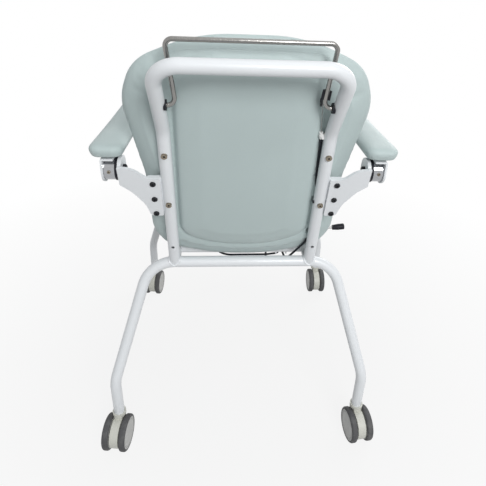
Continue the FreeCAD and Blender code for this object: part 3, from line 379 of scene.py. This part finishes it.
BULGE_RISE, BULGE_FULLNESS = 0.0233, 1.1
FOOT_X = 0.16
FOOT_LOW_S, FOOT_TOP_S = 0.055, 0.572
FOOT_BAND = 3e-4
CREASE_DEPTH, CREASE_WIDTH = 0.006, 0.0055
CREASE_END_S, CREASE_FULL_S = 0.53, 0.45
WIDER, TALLER = 0.011, 0.034
SIDE_X, SIDE_END_X = 0.157, 0.200
SIDE_FULL_S, SIDE_END_S = 0.44, 0.60
TOP_START_S, TOP_S, TOP_END_S = 0.38, 0.566, 0.622
TOP_FULL_X, TOP_END_X = 0.14, 0.20
SKIN_FULL_OFF, SKIN_END_OFF = 0.016, 0.030  # how far forward the skin is drawn fully, and at all
CABLE_GAP, CABLE_REACH = 0.0005, 0.007
CABLE_LOW_S = 0.05


def bulge_foot(step=0.002):
    """Points along the foot of the raised middle on the back's rear side."""
    def at_foot(p):
        inside = abs(p.x) < FOOT_X and FOOT_LOW_S < along(p) < FOOT_TOP_S
        return inside and abs(forward(p) - COVER_OFF) < FOOT_BAND

    mesh = nodes["back_rear_cover"].data
    points = []
    for e in mesh.edges:
        a, b = (mesh.vertices[i].co for i in e.vertices)
        if at_foot(a) and at_foot(b):
            n = max(1, round((b - a).length / step))
            points += [a.lerp(b, i / n) for i in range(n + 1)]
    return points


def tree_of(points):
    """Finds points by where they lie on the back."""
    tree = KDTree(len(points))
    for i, p in enumerate(points):
        tree.insert((p.x, along(p), 0), i)
    tree.balance()
    return tree


def plump(o):
    """Fills the raised middle out towards its foot, so that it ends in a short steep side."""
    k = BULGE_FULLNESS
    for v in o.data.vertices:
        h = COVER_OFF - forward(v.co)
        if h > 0:
            v.co += REARWARD * (h * (1 + k) / (1 + k * min(1.0, h / BULGE_RISE)) - h)


def crease(o, points):
    """Draws the cover in along a line, on its rear side."""
    tree = tree_of(points)
    for v in o.data.vertices:
        if forward(v.co) < REAR_SIDE:
            s = along(v.co)
            d = tree.find((v.co.x, s, 0))[2]
            depth = CREASE_DEPTH * math.exp(-(d / CREASE_WIDTH) ** 2)
            v.co -= REARWARD * (depth * fade(s, CREASE_END_S, CREASE_FULL_S))


def broaden(o):
    """Draws the raised middle of the back out behind the uprights and the handle."""
    for v in o.data.vertices:
        share = fade(forward(v.co), SKIN_END_OFF, SKIN_FULL_OFF)
        x, s = abs(v.co.x), along(v.co)
        out = fade(x, 0, SIDE_X) if x < SIDE_X else fade(x, SIDE_END_X, SIDE_X)
        rise = fade(s, TOP_START_S, TOP_S) if s < TOP_S else fade(s, TOP_END_S, TOP_S)
        v.co.x += math.copysign(share * WIDER * out * fade(s, SIDE_END_S, SIDE_FULL_S), v.co.x)
        v.co += UPWARD * (share * TALLER * rise * fade(x, TOP_END_X, TOP_FULL_X))


def make_way(o, node):
    """Dents the cover where a cable lies against it."""
    points = [v.co for v in nodes[node].data.vertices if along(v.co) > CABLE_LOW_S]
    tree = tree_of(points)
    for v in o.data.vertices:
        if forward(v.co) < REAR_SIDE:
            near = tree.find_range((v.co.x, along(v.co), 0), CABLE_REACH)
            if near:
                want = max(forward(points[i]) for q, i, d in near) + CABLE_GAP
                d = min(d for q, i, d in near)
                share = fade(d, CABLE_REACH, 0.4 * CABLE_REACH)
                v.co -= REARWARD * (max(0.0, want - forward(v.co)) * share)


def raised_middle(o):
    plump(o)
    crease(o, bulge_foot())
    broaden(o)
    make_way(o, "bail_cable")


def flatten(o, low, fullness, press):
    """Squares a pad's side up towards a broad flat top, and presses the pad down a little."""
    high = max(v.co.z for v in o.data.vertices)
    for v in o.data.vertices:
        t = (v.co.z - low) / (high - low)
        if t > 0:
            v.co.z = low + press * (high - low) * t * (1 + fullness) / (1 + fullness * t)


seat_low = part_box("seat_cushion")[0].z
arm_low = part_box("armrest_pad_left")[0].z
leg_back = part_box("legrest_cushion")[1].y

pad("back_rear_upholstery", "back_rear_cover", "frame", lambda c: forward(c) > SEAM_OFF - 0.005,
    voxel=0.0045, cap=0.003, shape=raised_middle, **THIN_PAD)
pad("back_front_upholstery", "back_cushion", "frame", lambda c: forward(c) < SEAM_OFF + 0.003,
    cap=0.012, **CUSHION)
pad("seat_upholstery", "seat_cushion", "frame", lambda c: c.z < seat_low + 0.004, cap=0.012, **CUSHION)
pad("legrest_upholstery", "legrest_cushion", "legrest", lambda c: c.y > leg_back - 0.004,
    cap=0.010, **CUSHION)
arm_pad = pad("armrest_upholstery_left", "armrest_pad_left", "armrest_left", lambda c: c.z < arm_low + 0.003,
              voxel=0.004, cap=0.002, **THIN_PAD)
flatten(arm_pad, arm_low, fullness=0.6, press=0.83)
twin = arm_pad.data.copy()
twin.transform(Matrix.Scale(-1, 4, SIDEWAYS))
twin.flip_normals()
twin.materials.clear()
finish_pad(add("armrest_upholstery_right", twin), "armrest_right", "armrest_pad_right")


# Seam around the back, in the plane where its two covers meet

SEAM_R, SEAM_SUNK = 0.0026, 0.004


def tube(name, points, radius, look, body):
    """Closed round cord through the points."""
    c = bpy.data.curves.new(name, "CURVE")
    c.dimensions = "3D"
    c.bevel_depth = radius
    c.bevel_resolution = 3
    s = c.splines.new("POLY")
    s.points.add(len(points) - 1)
    for p, co in zip(s.points, points):
        p.co = (*co, 1)
    s.use_cyclic_u = True
    line = add(name + "_line", c)
    mesh = bpy.data.meshes.new_from_object(line)
    bpy.data.objects.remove(line)
    o = add(name, mesh)
    mesh.materials.clear()
    mesh.materials.append(LOOKS[look])
    for p in mesh.polygons:
        p.use_smooth = True
    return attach(o, body)


def loop_on(node, height, value, inward, gap=0.002):
    """The solid's outline in one plane, in order round its middle, its points no closer than the gap."""
    points = [v.co.copy() for v in nodes[node].data.vertices if abs(height(v.co) - value) < IN_PLANE]
    mid = sum(points, Vector()) / len(points)
    a = (points[0] - mid).normalized()
    normal = max(((points[0] - mid).cross(p - mid) for p in points[1:]), key=lambda n: n.length)
    b = normal.normalized().cross(a)
    points.sort(key=lambda p: math.atan2((p - mid).dot(b), (p - mid).dot(a)))
    clean = []
    for p in points:
        if not clean or (p - clean[-1]).length > gap:
            clean.append(p)
    return [p - (p - mid).normalized() * inward for p in clean]


tube("back_seam", loop_on("back_cushion", forward, SEAM_OFF, SEAM_SUNK), SEAM_R, "vinyl", "frame")


# Weld beads where tubes meet

UPRIGHT_BEAD, RAIL_BEAD = 0.0030, 0.002
RIPPLES = ((0.00035, 0.61), (0.0002, 0.173))  # height, and turn from one point to the next


def saddle(centre, axis, square=2.0, turns=64):
    """Curve where a tube along axis meets a crossbar as thick; a higher square fills its corners."""
    side = axis.cross(SIDEWAYS).normalized()
    out = []
    for i in range(turns):
        t = 2 * math.pi * i / turns
        c, s = (math.copysign(TUBE_R * abs(f(t)) ** (2 / square), f(t)) for f in (math.cos, math.sin))
        out.append(centre + SIDEWAYS * c + side * s + axis * math.sqrt(max(TUBE_R ** 2 - s ** 2, 0.0)))
    return out


def bead(name, points, width):
    """Painted weld with a slight ripple."""
    o = tube(name, points, width, "frame_paint", "frame")
    for i, v in enumerate(o.data.vertices):
        v.co += v.normal * sum(height * math.sin(i * turn) for height, turn in RIPPLES)


for side, tag in ((1, "left"), (-1, "right")):
    upright = Vector((side * UPRIGHT_X, BAR_Y, BAR_Z))
    rail_rear = Vector((side * RAIL_X, BAR_Y, BAR_Z))
    rail_front = Vector((side * RAIL_X, FRONT_BAR_Y, BAR_Z))
    bead("upright_weld_" + tag, saddle(upright, UPWARD, square=2.9), UPRIGHT_BEAD)
    bead("rail_weld_rear_" + tag, saddle(rail_rear, AHEAD), RAIL_BEAD)
    bead("rail_weld_front_" + tag, saddle(rail_front, -AHEAD), RAIL_BEAD)


# Small fasteners: black hexagons sunk in the heads of the bolts through the uprights are painted shade in
# their sockets; the slotted screws in the armrest sleeves carry a proud black bar that is painted shade in
# their slots

# Each black hexagon is painted shade standing for the dark inside of a bolt's socket
SOCKET_SHADE_R, SOCKET_SHADE_SUNK, SOCKET_SHADE_DEPTH = 0.0025, 0.0006, 0.0012
SCREW_R, SCREW_PROUD, SCREW_DEPTH = 0.0041, 0.0003, 0.001
# A black bar standing a little proud of each screw head is painted shade for the screw's slot
SLOT_SHADE_HALF, SLOT_SHADE_R, SLOT_SHADE_PROUD, SLOT_SHADE_DEPTH = 0.0034, 0.0007, 0.0006, 0.0005
SLOT_ALONG, SLOT_ACROSS = Vector((-0.8, 0, 0.6)), Vector((0.6, 0, 0.8))


def ring_of(n, r):
    return [(r * math.cos(2 * math.pi * i / n), r * math.sin(2 * math.pi * i / n)) for i in range(n)]


def trim(name, places, outline, depth, look, body):
    """Short prisms of one outline; each place is a point and the two directions that span its face."""
    bm = bmesh.new()
    for at, u, v in places:
        back = u.cross(v) * depth
        near = [bm.verts.new(at + a * u + b * v) for a, b in outline]
        far = [bm.verts.new(p.co - back) for p in near]
        bm.faces.new(near)
        bm.faces.new(reversed(far))
        for i in range(len(near)):
            bm.faces.new((near[i - 1], far[i - 1], far[i], near[i]))
    bmesh.ops.recalc_face_normals(bm, faces=bm.faces)
    mesh = bpy.data.meshes.new(name)
    bm.to_mesh(mesh)
    bm.free()
    mesh.materials.append(LOOKS[look])
    o = add(name, mesh)
    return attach(o, body)


def middle_of(points, depth_of):
    """Middle of the face that lies furthest back."""
    end = min(map(depth_of, points))
    face = [p for p in points if depth_of(p) < end + IN_PLANE]
    return sum(face, Vector()) / len(face)


socket_shade_places = []
bolt_points = [v.co for v in nodes["back_bolts"].data.vertices]
half_way = (min(map(along, bolt_points)) + max(map(along, bolt_points))) / 2
for side in (1, -1):
    for level in (1, -1):
        bolt = [p for p in bolt_points if p.x * side > 0 and (along(p) - half_way) * level > 0]
        socket_shade_places.append((middle_of(bolt, forward) - REARWARD * SOCKET_SHADE_SUNK, -SIDEWAYS, UPWARD))
# Painted shade: black hexagons in the bolt sockets
trim("bolt_socket_shade", socket_shade_places, ring_of(6, SOCKET_SHADE_R), SOCKET_SHADE_DEPTH, "black_steel", "frame")

slot_shade_outline = [(-SLOT_SHADE_HALF, SLOT_SHADE_R), (-SLOT_SHADE_HALF, -SLOT_SHADE_R), (SLOT_SHADE_HALF, -SLOT_SHADE_R), (SLOT_SHADE_HALF, SLOT_SHADE_R)]
for tag in ("left", "right"):
    at = middle_of([v.co for v in nodes["armrest_sleeve_" + tag].data.vertices], lambda p: -p.y)
    screw_at = (at - AHEAD * SCREW_PROUD, SLOT_ALONG, SLOT_ACROSS)
    slot_shade_at = (at - AHEAD * SLOT_SHADE_PROUD, SLOT_ALONG, SLOT_ACROSS)
    body = "armrest_" + tag
    trim("sleeve_screw_" + tag, [screw_at], ring_of(20, SCREW_R), SCREW_DEPTH, "bolt_steel", body)
    # Painted shade: the black bar stands for the dark inside of the screw's slot
    trim("sleeve_slot_shade_" + tag, [slot_shade_at], slot_shade_outline, SLOT_SHADE_DEPTH, "black_steel", body)


# Floor, light and camera

FLOOR_SIZE = 40
FLOOR_GREYS = (0.40, 0.40, 0.40), (0.42, 0.42, 0.42)
WHITE_NEAR, WHITE_FAR = 0.4, 1.8  # between these distances the floor fades to white
WHITE_LEAST = 0.86
SKY, SKY_STRENGTH = (0.95, 0.98, 1.0, 1), 0.44
WHITE = (1, 1, 1, 1)
LIGHTS = (
    # name, place, aim, size, power
    ("key", (-1.1, 3.6, 2.9), (0, 0.2, 0.85), 1.6, 112),
    ("front", (-1.9, -2.0, 1.9), (0, 0, 0.7), 1.4, 30),
    ("top", (-0.5, 0.5, 3.0), (0, 0.2, 0.9), 1.6, 5),
)

# Camera fitted to the photo; the frame is square, and CENTRE_PX is where the camera's axis meets it
FRAME_PX = 486
FOCAL_PX = 441.18
CENTRE_PX = 260.23, 182.81
SENSOR_WIDTH = 36.0
PITCH, YAW, ROLL = (math.radians(a) for a in (25.188, 4.857, 2.494))
CAMERA_PLACE = (0.0466, BAR_Y + 1.0185, 1.2814)


def seen(tree):
    """1 for what the camera sees, straight on or in a mirror or glass."""
    path = tree.nodes.new("ShaderNodeLightPath")
    total = path.outputs["Is Camera Ray"]
    for name in ("Is Glossy Ray", "Is Transmission Ray"):
        n = tree.nodes.new("ShaderNodeMath")
        n.operation = "MAXIMUM"
        tree.links.new(total, n.inputs[0])
        tree.links.new(path.outputs[name], n.inputs[1])
        total = n.outputs[0]
    return total


def floor_look():
    """Pale floor that fades to white away from the object and keeps the object's shadow."""
    k = Look("floor", specular=0.1)
    k.colour(k.mix(k.noise(3.0), *FLOOR_GREYS)).rough(0.9)
    away = k.node("ShaderNodeVectorMath", operation="LENGTH")
    k.put(away.inputs[0], k.co)
    white = k.node("ShaderNodeEmission")
    white.inputs["Color"].default_value = WHITE
    mix = k.node("ShaderNodeMixShader")
    share = k.ramp(away.outputs["Value"], WHITE_NEAR, WHITE_FAR, WHITE_LEAST, 1.0)
    k.put(mix.inputs[0], k.calc("MULTIPLY", share, seen(k.t)))
    k.put(mix.inputs[1], k.b.outputs[0])
    k.put(mix.inputs[2], white.outputs[0])
    k.put(k.t.nodes["Material Output"].inputs["Surface"], mix.outputs[0])
    return k.m


def studio():
    bpy.ops.mesh.primitive_plane_add(size=FLOOR_SIZE)
    floor = bpy.context.object
    floor.name = "floor"
    floor.data.materials.append(floor_look())
    world = bpy.data.worlds.new("studio")
    scene.world = world
    world.use_nodes = True
    t = world.node_tree
    back = t.nodes["Background"]
    back.inputs["Color"].default_value = SKY
    back.inputs["Strength"].default_value = SKY_STRENGTH
    white = t.nodes.new("ShaderNodeBackground")
    white.inputs["Color"].default_value = WHITE
    mix = t.nodes.new("ShaderNodeMixShader")
    t.links.new(seen(t), mix.inputs[0])
    t.links.new(back.outputs[0], mix.inputs[1])
    t.links.new(white.outputs[0], mix.inputs[2])
    t.links.new(mix.outputs[0], t.nodes["World Output"].inputs["Surface"])
    for name, place, aim, size, power in LIGHTS:
        light = bpy.data.lights.new(name, "AREA")
        light.size = size
        light.energy = power
        o = add(name, light)
        o.location = place
        o.rotation_euler = (Vector(aim) - Vector(place)).to_track_quat("-Z", "Y").to_euler()
    scene.view_settings.view_transform = "Standard"


def camera():
    level = math.cos(PITCH)
    ahead = Vector((-math.sin(YAW) * level, -math.cos(YAW) * level, -math.sin(PITCH)))
    right = Vector((-math.cos(YAW), math.sin(YAW), 0))
    top = right.cross(ahead)
    r = right * math.cos(ROLL) + top * math.sin(ROLL)
    u = top * math.cos(ROLL) - right * math.sin(ROLL)
    data = bpy.data.cameras.new("camera")
    data.sensor_width = SENSOR_WIDTH
    data.lens = SENSOR_WIDTH * FOCAL_PX / FRAME_PX
    data.shift_x = (FRAME_PX / 2 - CENTRE_PX[0]) / FRAME_PX
    data.shift_y = (CENTRE_PX[1] - FRAME_PX / 2) / FRAME_PX
    cam = add("camera", data)
    place = Matrix((r, u, -ahead)).transposed().to_4x4()
    place.translation = CAMERA_PLACE
    cam.matrix_world = place
    scene.camera = cam


studio()
camera()
